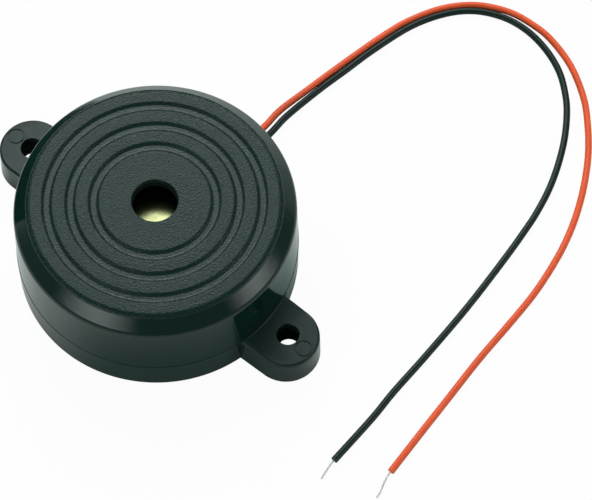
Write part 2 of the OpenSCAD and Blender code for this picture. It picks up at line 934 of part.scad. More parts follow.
module red_conductor() {
    color("#c4c6c4") {
        tube(red_tip, core_r, lead_sides);
        tube(red_inner, core_r, lead_sides, [1, 0, 0]);
    }
}

module black_conductor() {
    color("#c4c6c4") {
        tube(black_tip, core_r, lead_sides);
        tube(black_inner, core_r, lead_sides, [1, 0, 0]);
    }
}

housing();
back_cover();
diaphragm_plate();
piezo_ceramic();
main_electrode();
feedback_electrode();
diaphragm_seal();
diaphragm_solder();
plate_wire();
electrode_wire();
feedback_wire();
circuit_board();
copper_tracks();
solder_joints();
transistor();
transistor_legs();
resistor_1();
resistor_2();
resistor_3();
resistor_1_wires();
resistor_2_wires();
resistor_3_wires();
diode();
diode_wires();
choke_core();
choke_winding();
choke_pins();
lead_seal();
red_lead();
black_lead();
red_conductor();
black_conductor();
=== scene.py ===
"""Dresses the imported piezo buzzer: its moulded case, what is inside it and its two flying leads.

Lengths are in metres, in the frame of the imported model. Z is up, the lugs point along X, and
the leads leave through the wall at +Y.
"""

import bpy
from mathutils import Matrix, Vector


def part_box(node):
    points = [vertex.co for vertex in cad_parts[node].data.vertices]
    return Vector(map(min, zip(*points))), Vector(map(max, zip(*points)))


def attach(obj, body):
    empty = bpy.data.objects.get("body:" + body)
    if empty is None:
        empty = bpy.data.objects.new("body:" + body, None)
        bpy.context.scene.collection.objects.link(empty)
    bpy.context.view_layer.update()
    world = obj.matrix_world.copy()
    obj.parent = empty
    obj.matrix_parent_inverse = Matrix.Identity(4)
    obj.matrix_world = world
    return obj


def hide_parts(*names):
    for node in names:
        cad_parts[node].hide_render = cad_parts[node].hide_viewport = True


bl_info = {
    "name": "Piezo Buzzer",
    "version": (1, 0, 0),
    "blender": (4, 5, 0),
    "location": "3D View > Sidebar > Buzzer",
    "description": "Builds the finished pieces of a piezo buzzer round its packed model",
    "category": "Object",
}

import functools
import math

import bmesh
import bpy
from bpy.props import FloatProperty, FloatVectorProperty, IntProperty, PointerProperty
from mathutils import Matrix, Vector

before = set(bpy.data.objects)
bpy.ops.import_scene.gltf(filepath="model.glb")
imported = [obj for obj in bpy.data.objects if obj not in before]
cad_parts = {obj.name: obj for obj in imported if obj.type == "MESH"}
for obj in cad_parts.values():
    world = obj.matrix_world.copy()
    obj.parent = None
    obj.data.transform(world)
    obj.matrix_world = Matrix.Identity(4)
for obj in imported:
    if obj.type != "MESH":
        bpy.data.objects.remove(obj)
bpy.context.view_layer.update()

MM = 0.001
BODY = "root"
CASE_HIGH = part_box("housing")[1]
COVER_LOW, COVER_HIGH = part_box("back_cover")
PLATE_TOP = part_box("diaphragm_plate")[1].z
BOARD_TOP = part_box("circuit_board")[1].z
COIL_LOW, COIL_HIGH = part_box("choke_winding")

FADE = 0.1 * MM  # width over which one finish gives way to the next
OVERLAP = 0.2 * MM  # how far a joined solid reaches into the one that carries it
FLOOR_DROP = 0.02 * MM  # how far the floor lies below what stands on it


# ---- sizes and colours ----


def length(name, description, default):
    """A size that a user can set. Its default is given in millimetres."""
    size = default * MM
    return FloatProperty(name=name, description=description, default=size, unit="LENGTH", precision=5)


def angle(name, description, default):
    """An angle that a user can set. Its default is given in degrees."""
    turn = math.radians(default)
    return FloatProperty(name=name, description=description, default=turn, subtype="ANGLE")


def colour(name, description, default):
    """A surface colour that a user can set."""
    return FloatVectorProperty(
        name=name, description=description, default=default, subtype="COLOR", min=0, max=1
    )


class CaseSizes(bpy.types.PropertyGroup):
    """Sizes of the moulded case."""

    band_r: length("Band radius", "Radius of the straight band at the foot", CASE_HIGH.y / MM)
    height: length("Height", "Height of the case", CASE_HIGH.z / MM)
    band_h: length("Band height", "Height of the straight band", 5.6)
    band_step: length("Band step", "Step where the wall meets the band", 0.05)
    wall_r: length("Wall radius", "Radius of the wall below the chamfer", 21.35)
    chamfer_h: length("Chamfer height", "Height of the chamfer", 2.45)
    chamfer_w: length("Chamfer width", "Width of the chamfer", 2.35)
    chamfer_edge: length("Chamfer edge", "Radius of the chamfer's upper edge", 1.3)
    shoulder: length("Shoulder", "Radius of the chamfer's lower edge", 1.4)
    foot_edge: length("Foot edge", "Radius of the edge that the case stands on", 0.05)
    cavity_r: length("Inner radius", "Radius of the space inside", 19.3)
    top_t: length("Top thickness", "Thickness of the top", 2)
    cover_bore_r: length("Cover bore", "Radius of the bore for the back cover", 20.1)
    seat_in_r: length("Seat inside", "Inner radius of the diaphragm's seat", 16)
    seat_out_r: length("Seat outside", "Outer radius of the diaphragm's seat", 17.9)
    hole_r: length("Sound hole", "Radius of the sound hole", 3.45)
    hole_edge: length("Hole edge", "Radius of the sound hole's edge", 0.2)
    rib_w: length("Rib width", "Width of a rib round the seat", 1.4)
    rib_count: IntProperty(name="Ribs", description="Number of ribs round the seat", default=6, min=3)
    segments: IntProperty(name="Segments", description="Steps round the case", default=288, min=32)


class GrooveSizes(bpy.types.PropertyGroup):
    """Sizes of the ring grooves in the top."""

    count: IntProperty(name="Grooves", description="Number of ring grooves", default=3, min=1)
    first_r: length("First radius", "Middle radius of the innermost groove", 9.2)
    pitch: length("Pitch", "Distance from one groove to the next", 3.5)
    mouth: length("Mouth", "Half the width of a groove at the top", 0.78)
    floor: length("Floor", "Half the width of a groove's floor", 0.42)
    depth: length("Depth", "Depth of a groove", 0.27)
    lip: length("Lip", "Radius of a groove's lips", 0.65)
    toe: length("Toe", "Radius at the foot of a groove's sides", 0.55)


class LugSizes(bpy.types.PropertyGroup):
    """Sizes of the two mounting lugs."""

    hole_x: length("Hole place", "Distance of a lug's hole from the middle", 25.6)
    hole_r: length("Hole radius", "Radius of a lug's hole", 1.75)
    hole_edge: length("Hole edge", "Bevel round the top of a lug's hole", 0.06)
    hole_lean: length("Hole lean", "How far out the foot of a lug's hole lies from its top", 0.3)
    skew: angle("Skew", "Turn of the lug at +X out of line with its hole", -0.8)
    thickness: length("Thickness", "Thickness of a lug", 5.3)
    tip_r: length("Tip radius", "Radius of a lug's tip at the foot", 5.3)
    root_x: length("Root place", "Middle of the round that gives a lug its width", 16.25)
    root_r: length("Root radius", "Radius of the round that gives a lug its width", 5.5)
    draft: length("Draft", "How much narrower a lug is at its top", 0.2)
    edge_r: length("Edge", "Radius of a lug's top edge", 0.4)
    bead: length("Bead", "Radius of the bead where a lug meets the wall", 0.1)
    mark_x: length("Mark place", "Distance of a mould mark from the middle", 28.95)
    mark_r: length("Mark radius", "Radius of a mould mark", 1.35)
    mark_line: length("Mark line", "Width of a mould mark's line", 0.2)
    mark_depth: length("Mark depth", "Depth of a mould mark's line", 0.14)


class CoverSizes(bpy.types.PropertyGroup):
    """Sizes of the back cover."""

    edge_r: length("Edge", "Radius of the cover's outer edge", 0.25)
    thickness: length("Thickness", "Thickness of the cover", 1.5)
    post_place: length("Post place", "Distance of a post from the middle", 16.8)
    post_r: length("Post radius", "Radius of a post", 1.1)
    posts: IntProperty(name="Posts", description="Number of posts", default=4, min=3)
    gate_r: length("Gate radius", "Radius of the sunk moulding gate", 1.4)
    gate_depth: length("Gate depth", "Depth of the sunk moulding gate", 0.2)


class CoilSizes(bpy.types.PropertyGroup):
    """Sizes of the choke's winding."""

    hub_r: length("Hub radius", "Radius of the hub that carries the winding", 1.4)
    wire_r: length("Wire radius", "Radius of the enamelled wire", 0.08)
    turns: IntProperty(name="Turns", description="Turns in the outer layer", default=19, min=4)


class LeadSizes(bpy.types.PropertyGroup):
    """Sizes of the two flying leads."""

    radius: length("Radius", "Radius of a lead over its insulation", 0.55)
    core_r: length("Core radius", "Radius of a lead's stranded conductor", 0.15)
    pitch: length("Pitch", "Distance between the leads in the wall", 1.6)
    exit_z: length("Exit height", "Height of the leads in the wall", 3.2)
    start_y: length("Start", "Where a lead's insulation begins inside the case", 12)
    seal_y: length("Sealant", "Where a lead's straight stretch in the wall begins", 17.5)
    past_wall: length("Past the wall", "Where that straight stretch ends, past the wall", 0.3)
    pad_x: length("Pad place", "Distance of a conductor's pad from the middle", 2)
    pad_y: length("Pad row", "Where the conductors go up into the board", 10.6)
    lay: length("Lay", "Length in which the strands go once round", 20)
    red_free: length("Red length", "Length of the red lead outside, to the end of its insulation", 150)
    black_free: length("Black length", "Length of the black lead outside, to its insulation's end", 147)


class Finishes(bpy.types.PropertyGroup):
    """Colours of the main surfaces."""

    case: colour("Case", "Moulded plastic of the case", (0.0025, 0.0175, 0.0152))
    cover: colour("Cover", "Moulded plastic of the back cover", (0.0035, 0.0175, 0.0155))
    red: colour("Red insulation", "Insulation of the red lead", (0.9, 0.115, 0.034))
    black: colour("Black insulation", "Insulation of the black lead", (0.0045, 0.018, 0.016))
    tin: colour("Tinned wire", "Bare tinned wire", (0.74, 0.74, 0.71))
    brass: colour("Brass", "Brass plate of the diaphragm", (0.5, 0.54, 0.27))
    board: colour("Board", "Hard paper of the circuit board", (0.36, 0.19, 0.07))
    copper: colour("Copper", "Copper tracks", (0.80, 0.38, 0.22))


class Studio(bpy.types.PropertyGroup):
    """Floor, lamps and camera."""

    floor_r: length("Floor radius", "Radius of the floor", 3000)
    aim: FloatVectorProperty(
        name="Aim", description="Point on the floor that the camera looks at",
        default=(0.01617, 0.01404, 0), subtype="TRANSLATION",
    )
    distance: length("Distance", "Distance of the camera from that point", 401.28)
    turn: angle("Turn", "Place of the camera, from -Y towards +X", 36.74)
    elevation: angle("Elevation", "Angle of view above the horizon", 63.59)
    roll: angle("Roll", "Turn of the camera about its own line of sight", 1.825)
    lens: FloatProperty(name="Lens", description="Focal length in millimetres", default=156.15)
    world: FloatProperty(name="World", description="Brightness of the room", default=0.22)
    key: FloatProperty(name="Main lamp", description="Brightness of the large soft lamp", default=6.3)
    side: FloatProperty(name="Side lamps", description="Brightness of the two small lamps", default=5)


class BuzzerSettings(bpy.types.PropertyGroup):
    """Every size and colour of the buzzer."""

    case: PointerProperty(type=CaseSizes)
    groove: PointerProperty(type=GrooveSizes)
    lug: PointerProperty(type=LugSizes)
    cover: PointerProperty(type=CoverSizes)
    coil: PointerProperty(type=CoilSizes)
    lead: PointerProperty(type=LeadSizes)
    finish: PointerProperty(type=Finishes)
    studio: PointerProperty(type=Studio)


# ---- node trees ----


class Nodes:
    """A node tree, built a node at a time. A node's kind may leave out its family."""

    family = "ShaderNode"

    def __init__(self, tree):
        self.tree = tree

    def put(self, socket, value):
        """Links a socket to the one given, or sets it. None leaves it as it is."""
        if isinstance(value, bpy.types.NodeSocket):
            self.tree.links.new(value, socket)
        elif value is not None:
            socket.default_value = (*value[:3], 1) if socket.type == "RGBA" else value

    def add(self, kind, *values, out=0, how=None, **named):
        """One output of a new node. how gives its settings; its inputs come in order or by name."""
        node = self.tree.nodes.new(kind if "Node" in kind else self.family + kind)
        for key, value in (how or {}).items():
            setattr(node, key, value)
        for socket, value in zip(node.inputs, values):
            self.put(socket, value)
        for key, value in named.items():
            self.put(node.inputs[key.replace("_", " ")], value)
        return node.outputs[out]

    def math(self, operation, a, b=0.0, clamp=False):
        """One sum of two sockets or numbers."""
        return self.add("ShaderNodeMath", a, b, how={"operation": operation, "use_clamp": clamp})

    def distance(self, vector):
        """How far a point is from the origin."""
        return self.add("ShaderNodeVectorMath", vector, how={"operation": "LENGTH"}, out="Value")

    def spread(self, value, low, high, to_low=0.0, to_high=1.0):
        """value from low to high, spread smoothly over to_low to to_high."""
        return self.add(
            "ShaderNodeMapRange", value, low, high, to_low, to_high, how={"interpolation_type": "SMOOTHSTEP"}
        )


class Finish(Nodes):
    """A material with its node tree."""

    def __init__(self, name):
        self.material = bpy.data.materials.new(name)
        self.material.use_nodes = True
        super().__init__(self.material.node_tree)
        self.shader = self.tree.nodes["Principled BSDF"]

    def place(self, centre=(0, 0, 0), turn=0):
        """Object coordinates, centred and turned about Z to suit a piece."""
        return self.add(
            "Mapping", self.add("TexCoord", out="Object"), centre, (0, 0, turn),
            how={"vector_type": "TEXTURE"},
        )

    def part(self, vector, axis):
        """One coordinate of a vector."""
        return self.add("SeparateXYZ", vector, out=axis)

    def stretch(self, vector, scale):
        """Coordinates squeezed along each axis."""
        return self.add("VectorMath", vector, scale, how={"operation": "MULTIPLY"})

    def radius(self, vector):
        """Distance from the Z axis."""
        return self.distance(self.stretch(vector, (1, 1, 0)))

    def past(self, value, edge, fade=FADE):
        """A mask that is 1 where value is past an edge."""
        return self.spread(value, edge, edge + fade)

    def short(self, value, edge, fade=FADE):
        """A mask that is 1 where value is short of an edge."""
        return self.spread(value, edge, edge + fade, 1, 0)

    def both(self, *masks):
        """A mask that is 1 only where each of the masks is."""
        return functools.reduce(functools.partial(self.math, "MULTIPLY"), masks)

    def noise(self, vector, size, detail=3, roughness=0.55):
        """Noise whose features are about as large as size."""
        return self.add("TexNoise", vector, Scale=1 / size, Detail=detail, Roughness=roughness)

    def wander(self, noise, low=0.0, high=1.0):
        """Noise, which keeps mostly between 0.3 and 0.7, spread over low to high."""
        return self.spread(noise, 0.3, 0.7, low, high)

    def mix(self, share, a, b):
        """Colour a where share is 0, and b where it is 1. A Mix node's colours are sockets 6, 7 and 2."""
        node = self.tree.nodes.new("ShaderNodeMix")
        node.data_type = "RGBA"
        for index, value in ((0, share), (6, a), (7, b)):
            self.put(node.inputs[index], value)
        return node.outputs[2]

    def shades(self, noise, tint, dark, light):
        """A colour that wanders with noise between a darker and a lighter shade."""
        return self.mix(self.wander(noise), shade(tint, dark), shade(tint, light))

    def bump(self, height, distance, strength=1.0, under=None):
        """The surface's slope from a height, on top of the one under it."""
        return self.add("Bump", Strength=strength, Distance=distance, Height=height, Normal=under)

    def set(self, **values):
        """Sets or links the shader's own sockets."""
        for key, value in values.items():
            self.put(self.shader.inputs[key.replace("_", " ")], value)
        return self.material


# ---- materials ----


def shade(tint, factor):
    """A colour made lighter or darker."""
    return tuple(min(1.0, c * factor) for c in tint[:3])


def case_plastic(settings):
    """Black moulded plastic: grain on the top face, satin lugs, polished walls and chamfer, and dull bores
    with painted shade.
    """
    case, lug, tint = settings.case, settings.lug, settings.finish.case
    n = Finish("case_black")
    place = n.place()
    away = n.radius(place)
    up = n.part(place, "Z")
    lug_axis = n.math("MINIMUM", *(n.radius(n.place((x, 0, 0))) for x in (lug.hole_x, -lug.hole_x)))

    top, shelf = case.height, lug.thickness
    grain_end = case.wall_r - case.chamfer_w + 0.3 * MM
    in_grooves = 0.6  # share of the grain that shows in the grooves
    face = n.both(
        n.short(away, grain_end), n.past(up, top - 0.75 * MM, 0.15 * MM),
        n.spread(up, top - 0.06 * MM, top - 0.01 * MM, in_grooves, 1),
    )
    lugs = n.both(n.past(away, case.band_r), n.past(up, shelf - 0.4 * MM))
    sound_hole = n.both(n.short(away, case.hole_r), n.short(up, top - 0.6 * MM, 0.2 * MM))
    lug_holes = n.both(n.short(lug_axis, lug.hole_r + 0.35 * MM), n.short(up, shelf - 0.15 * MM))
    dull_shaded_holes = n.math("MAXIMUM", sound_hole, lug_holes)

    fine = n.noise(place, 0.24 * MM, detail=2, roughness=0.5)
    scuff = n.noise(n.stretch(place, (1, 1, 0.25)), 1.2 * MM, detail=5)
    base = n.shades(n.noise(place, 6 * MM), tint, 0.9, 1.12)
    pale = n.mix(n.spread(fine, 0.45, 0.75), base, shade(tint, 2.2))
    rough = n.spread(fine, 0.35, 0.65, 0.32, 0.42)
    smooth = n.spread(scuff, 0.35, 0.75, 0.075, 0.15)
    # The lugs get a lighter tone. The holes get a rougher finish and a colour at half the tint, which is
    # painted shade inside their bores.
    for mask, duller, lighter in ((lugs, 0.26, 1.25), (dull_shaded_holes, 0.7, 0.5)):
        smooth = n.math("ADD", smooth, n.math("MULTIPLY", mask, duller))
        base = n.mix(mask, base, shade(tint, lighter))
    waves = n.bump(n.noise(place, 3.5 * MM, detail=2), 0.05 * MM, 0.4)
    return n.set(
        Base_Color=n.mix(face, base, pale),
        Roughness=n.math("ADD", smooth, n.both(face, n.math("SUBTRACT", rough, smooth))),
        Normal=n.bump(n.both(fine, face), 0.12 * MM, 1, waves),
        IOR=1.45, Specular_IOR_Level=0.4, Specular_Tint=(0.92, 1, 0.98),
    )


def plain_finish(name, tint, grain, shades, rough, depth, cloud=None, detail=4, strength=0.8, **more):
    """A finish that wanders a little: gloss and surface with its grain, and colour in larger clouds.

    The sizes of grain, depth and cloud are in millimetres.
    """
    n = Finish(name)
    place = n.place()
    fine = n.noise(place, grain * MM, detail)
    return n.set(
        Base_Color=n.shades(n.noise(place, (cloud or 12 * grain) * MM), tint, *shades),
        Roughness=n.wander(fine, *rough), Normal=n.bump(fine, depth * MM, strength), **more,
    )


def cover_plastic(settings):
    """The back cover's plastic, a little duller than the case."""
    return plain_finish(
        "cover_black", settings.finish.cover, 0.35, (0.85, 1.2), (0.34, 0.46), 0.02, cloud=5,
        strength=0.7, IOR=1.45,
    )


def insulation(name, tint, flush):
    """Soft insulation with a slight flow to its surface."""
    return plain_finish(
        name, tint, 2, (0.93, 1.05), (flush - 0.05, flush + 0.05), 0.015, cloud=4, detail=2,
        strength=0.5, IOR=1.46, Specular_IOR_Level=0.3, Specular_Tint=(0.9, 1, 0.97),
    )


def brushed_brass(settings):
    """Rolled brass sheet: fine lines one way, and a few dull patches."""
    n = Finish("brass")
    place = n.place()
    lines = n.noise(n.stretch(place, (1, 0.06, 1)), 0.09 * MM)
    dull = n.noise(place, 2.2 * MM)
    tint = settings.finish.brass
    return n.set(
        Base_Color=n.mix(n.spread(dull, 0.35, 0.7), tint, shade(tint, 0.82)),
        Roughness=n.spread(dull, 0.3, 0.75, 0.2, 0.26),
        Normal=n.bump(lines, 0.002 * MM, 0.8), Metallic=1,
    )


def hard_paper(settings):
    """Brown hard paper with short fibres."""
    n = Finish("board")
    fibre = n.noise(n.stretch(n.place(), (0.25, 1, 1)), 0.3 * MM, detail=4)
    tint = settings.finish.board
    return n.set(
        Base_Color=n.mix(n.spread(fibre, 0.35, 0.65), shade(tint, 0.82), shade(tint, 1.1)),
        Roughness=n.wander(fibre, 0.36, 0.5), Normal=n.bump(fibre, 0.012 * MM, 0.8),
    )


def banded(name, node, turn, coat, bands, width):
    """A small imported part's finish, with bands at places along its own X axis. Sizes are in millimetres."""
    n = Finish(name)
    low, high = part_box(node)
    place = n.place((low + high) / 2, turn)
    along = n.part(place, "X")
    fine = n.noise(place, 0.25 * MM)
    tint = n.shades(fine, coat, 0.94, 1.05)
    for spot, paint in bands:
        away = n.math("ABSOLUTE", n.math("SUBTRACT", along, spot * MM))
        tint = n.mix(n.short(away, width * MM / 2, 0.03 * MM), tint, paint)
    return n.set(
        Base_Color=tint, Roughness=n.wander(fine, 0.28, 0.4),
        Normal=n.bump(fine, 0.01 * MM, 0.5), Coat_Weight=0.3, Coat_Roughness=0.15,
    )


def floor_white():
    """A matt floor, plain white to the eye. Reflections see it as it is lit, with a painted shadow close in
    front of the case and painted shade far out.
    """
    n = Finish("floor_white")
    place = n.place()
    away = n.radius(place)
    # Painted shadow: where ahead and foot meet, close in front of the case's foot, the floor's colour is
    # painted darker.
    ahead = n.past(n.part(n.place(turn=math.radians(-25)), "X"), 4 * MM, 14 * MM)
    foot = n.both(ahead, n.short(away, 23 * MM, 11 * MM))
    # Painted shade: from 55 to 85 mm outwards the floor's colour is painted greyer.
    outer = n.past(away, 55 * MM, 85 * MM)
    tint = n.mix(n.wander(n.noise(place, 3 * MM)), (0.82, 0.9, 0.87), (0.84, 0.92, 0.89))
    for mask, painted_shade_grey in ((foot, (0.5, 0.66, 0.62)), (outer, (0.52, 0.57, 0.55))):
        tint = n.mix(mask, tint, painted_shade_grey)
    n.set(Base_Color=tint, Roughness=0.9)

    white = 0.96  # share of plain white that the eye sees
    lift = 0.1  # and that reflections see
    ray = n.tree.nodes.new("ShaderNodeLightPath").outputs
    seen = n.math("MULTIPLY", n.math("ADD", ray["Is Camera Ray"], ray["Is Transmission Ray"]), white)
    # Reflections get a little plain white, but none in the painted shadow in front of the case.
    mirrored = n.math("MULTIPLY", ray["Is Glossy Ray"], n.spread(foot, 0, 1, lift, 0))
    glow = n.add(
        "MixShader", n.math("ADD", seen, mirrored, clamp=True), n.shader.outputs["BSDF"],
        n.add("Emission", Strength=1),
    )
    n.put(n.tree.nodes["Material Output"].inputs["Surface"], glow)
    return n.material


# ---- shapes ----


def arc(centre, radius, start, end, steps):
    """Points of an arc in a plane. Angles are in degrees."""
    points = []
    for i in range(steps + 1):
        a = math.radians(start + (end - start) * i / steps)
        points.append((centre[0] + radius * math.cos(a), centre[1] + radius * math.sin(a)))
    return points


def rounded(points, steps=6):
    """A closed outline from (x, y, corner radius) points, with each corner rounded by its radius."""
    outline = []
    for i, (x, y, radius) in enumerate(points):
        if radius <= 0:
            outline.append((x, y))
            continue
        corner = Vector((x, y))
        before = (Vector(points[i - 1][:2]) - corner).normalized()
        after = (Vector(points[(i + 1) % len(points)][:2]) - corner).normalized()
        half = before.angle(after) / 2
        centre = corner + (before + after).normalized() * radius / math.sin(half)
        first = corner + before * radius / math.tan(half) - centre
        last = corner + after * radius / math.tan(half) - centre
        start = math.degrees(math.atan2(first.y, first.x))
        turn = math.degrees(first.angle_signed(last))
        outline += arc(centre, radius, start, start - turn, steps)
    return outline


def new_object(name, mesh):
    piece = bpy.data.objects.new(name, mesh)
    bpy.context.scene.collection.objects.link(piece)
    return piece


def from_bmesh(name, bm):
    """A mesh object from a bmesh, with its doubles merged and its faces turned outwards."""
    bmesh.ops.remove_doubles(bm, verts=bm.verts, dist=1e-7)
    bmesh.ops.recalc_face_normals(bm, faces=bm.faces)
    mesh = bpy.data.meshes.new(name)
    bm.to_mesh(mesh)
    bm.free()
    return new_object(name, mesh)


def line_object(name, chains, closed=False):
    """An object that holds only lines through the points of each chain."""
    points = []
    edges = []
    for chain in chains:
        first = len(points)
        points += [tuple(p) for p in chain]
        edges += [(i, i + 1) for i in range(first, len(points) - 1)]
        if closed:
            edges.append((len(points) - 1, first))
    mesh = bpy.data.meshes.new(name)
    mesh.from_pydata(points, edges, [])
    return new_object(name, mesh)


def skinned(name, rings, closed=False):
    """A solid over rings of points, each with as many. It ends on its first ring, or in a face each way."""
    bm = bmesh.new()
    rings = [[bm.verts.new(p) for p in ring] for ring in rings]
    count = len(rings[0])
    for one, two in zip(rings, rings[1:] + rings[:closed]):
        for i in range(count):
            j = (i + 1) % count
            bm.faces.new((one[i], two[i], two[j], one[j]))
    if not closed:
        bm.faces.new(rings[0])
        bm.faces.new(rings[-1])
    return from_bmesh(name, bm)


def turned(name, outline, centre=(0, 0), segments=64, start=0, sweep=360):
    """A solid turned about an upright axis from a closed outline of (radius, z) points."""
    whole = sweep == 360
    rings = []
    for i in range(segments if whole else segments + 1):
        a = math.radians(start + sweep * i / segments)
        rings.append([(centre[0] + r * math.cos(a), centre[1] + r * math.sin(a), z) for r, z in outline])
    return skinned(name, rings, whole)


def carve(piece, added=(), cut=()):
    """Joins solids to a piece and cuts others out of it, then removes them."""
    for tool, operation in [(t, "UNION") for t in added] + [(t, "DIFFERENCE") for t in cut]:
        modifier = piece.modifiers.new(operation.lower(), "BOOLEAN")
        modifier.operation = operation
        modifier.solver = "EXACT"
        modifier.object = tool
    freeze(piece)
    for tool in [*added, *cut]:
        bpy.data.objects.remove(tool)


def freeze(piece):
    """Turns a piece with modifiers into a plain mesh."""
    evaluated = piece.evaluated_get(bpy.context.evaluated_depsgraph_get())
    mesh = bpy.data.meshes.new_from_object(evaluated)
    if not mesh.polygons:
        raise RuntimeError(f"{piece.name} came out empty")
    piece.modifiers.clear()
    piece.data = mesh
    mesh.name = piece.name


def soften(piece, angle=32):
    """Shades a piece smooth, but for its sharp edges and its large flat faces."""
    piece.data.shade_smooth()
    piece.data.set_sharp_from_angle(angle=math.radians(angle))
    modifier = piece.modifiers.new("weighted", "WEIGHTED_NORMAL")
    modifier.keep_sharp = True
    freeze(piece)


def finish_piece(piece, material, node):
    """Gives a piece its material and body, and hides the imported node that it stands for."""
    piece.data.materials.clear()
    piece.data.materials.append(material)
    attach(piece, BODY)
    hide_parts(node)


# ---- geometry node trees ----


class Tree(Nodes):
    """A geometry node tree with named inputs: its floats in one line of names, and others by kind."""

    family = "GeometryNode"

    def __init__(self, name, floats, **others):
        super().__init__(bpy.data.node_groups.new(name, "GeometryNodeTree"))
        kinds = {"Geometry": "Geometry", **dict.fromkeys(floats.split(), "Float"), **others}
        for key, kind in (*kinds.items(), ("Material", "Material")):
            self.tree.interface.new_socket(key, in_out="INPUT", socket_type=f"NodeSocket{kind}")
        self.tree.interface.new_socket("Geometry", in_out="OUTPUT", socket_type="NodeSocketGeometry")
        self.given = self.tree.nodes.new("NodeGroupInput").outputs
        self.end = self.tree.nodes.new("NodeGroupOutput")

    def vector(self, x=0.0, y=0.0, z=0.0):
        """A vector from three sockets or numbers."""
        return self.add("ShaderNodeCombineXYZ", x, y, z)

    def join(self, *parts):
        """Several geometries as one. They all go into the one input, which takes any number."""
        node = self.tree.nodes.new("GeometryNodeJoinGeometry")
        for part in parts:
            self.put(node.inputs[0], part)
        return node.outputs[0]

    def ring(self, piece, rotation=None, turn=0.0):
        """Sets Count of a piece in a ring round the Z axis, at the Place and Height given."""
        ring = self.add("MeshCircle", Vertices=self.given["Count"], Radius=self.given["Place"])
        raised = self.add(
            "Transform", Geometry=ring, Translation=self.vector(z=self.given["Height"]),
            Rotation=self.vector(z=turn),
        )
        return self.add("InstanceOnPoints", Points=raised, Instance=piece, Rotation=rotation)

    def finish(self, geometry):
        """Ends the tree as every tree here ends."""
        real = self.add("RealizeInstances", geometry)
        done = self.add("SetMaterial", Geometry=real, Material=self.given["Material"])
        self.put(self.end.inputs[0], done)
        return self.tree


def grow(piece, tree, **values):
    """Runs a tree on a piece with the values given, and keeps the result as a plain mesh."""
    modifier = piece.modifiers.new(tree.name, "NODES")
    modifier.node_group = tree
    sockets = {i.name: i.identifier for i in tree.interface.items_tree if i.in_out == "INPUT"}
    for key, value in values.items():
        modifier[sockets[key]] = value
    freeze(piece)


def turned_tree():
    """Sweeps a closed outline, drawn in the XZ plane, once round the Z axis."""
    t = Tree("turned case", "Radius", Segments="Int")
    outline = t.add("MeshToCurve", t.given["Geometry"])
    flat = t.add(
        "Transform", Geometry=outline, Rotation=(math.pi / 2, 0, 0),
        Translation=t.vector(x=t.math("MULTIPLY", t.given["Radius"], -1)),
    )
    circle = t.add("CurvePrimitiveCircle", Resolution=t.given["Segments"], Radius=t.given["Radius"])
    return t.finish(t.add("CurveToMesh", Curve=circle, Profile_Curve=flat))


def ribs_tree():
    """Sets upright ribs in a ring, each pointing outwards."""
    t = Tree("ring of ribs", "Place Height", Count="Int", Size="Vector")
    outwards = t.add(
        "FunctionNodeAlignEulerToVector", Vector=t.add("InputPosition"),
        how={"axis": "X", "pivot_axis": "Z"},
    )
    return t.finish(t.ring(t.add("MeshCube", Size=t.given["Size"]), outwards))


def posts_tree():
    """Sets round posts in a ring."""
    t = Tree("ring of posts", "Place Radius Length Height Turn", Count="Int")
    post = t.add("MeshCylinder", Vertices=32, Radius=t.given["Radius"], Depth=t.given["Length"])
    return t.finish(t.ring(post, turn=t.given["Turn"]))


def strands_tree():
    """Lays six strands round one along each line, twisted at an even lay."""
    t = Tree("twisted strands", "Radius Lay")
    strand_r = t.math("DIVIDE", t.given["Radius"], 3)
    strand = t.add("CurvePrimitiveCircle", Resolution=8, Radius=strand_r)
    six = t.add("MeshCircle", Vertices=6, Radius=t.math("MULTIPLY", strand_r, 2))
    middle = t.add("MeshLine", Count=1)
    bundle = t.add("InstanceOnPoints", Points=t.join(six, middle), Instance=strand)
    bundle = t.add("RealizeInstances", bundle)
    way = t.add("MeshToCurve", t.given["Geometry"])
    distance = t.add("SplineParameter", out="Length")
    tilt = t.math("MULTIPLY", t.math("DIVIDE", distance, t.given["Lay"]), 2 * math.pi)
    twisted = t.add("SetCurveTilt", Curve=way, Tilt=tilt)
    return t.finish(t.add("CurveToMesh", Curve=twisted, Profile_Curve=bundle, Fill_Caps=True))


def winding_tree():
    """Winds one layer of wire over the closed body of the layers below it."""
    t = Tree("wound wire", "Hub Radius Height Wire", Turns="Int")
    wire_r = t.given["Wire"]
    height = t.given["Height"]
    middle_r = t.math("SUBTRACT", t.given["Radius"], wire_r)
    helix = t.add(
        "CurveSpiral", Resolution=40, Rotations=t.given["Turns"], Start_Radius=middle_r,
        End_Radius=middle_r, Height=t.math("SUBTRACT", height, t.math("MULTIPLY", wire_r, 2)),
    )
    wire = t.add("CurvePrimitiveCircle", Resolution=8, Radius=wire_r)
    turns = t.add("CurveToMesh", Curve=helix, Profile_Curve=wire, Fill_Caps=True)
    turns = t.add("Transform", Geometry=turns, Translation=t.vector(z=wire_r))
    depth = t.math("SUBTRACT", middle_r, t.given["Hub"])
    between = t.math("MULTIPLY", t.math("ADD", middle_r, t.given["Hub"]), 0.5)
    section = t.add("CurvePrimitiveQuadrilateral", Width=depth, Height=height)
    circle = t.add("CurvePrimitiveCircle", Resolution=48, Radius=between)
    body = t.add("CurveToMesh", Curve=circle, Profile_Curve=section)
    raised = t.vector(z=t.math("MULTIPLY", height, 0.5))
    return t.finish(t.join(turns, t.add("Transform", Geometry=body, Translation=raised)))


# ---- the case ----


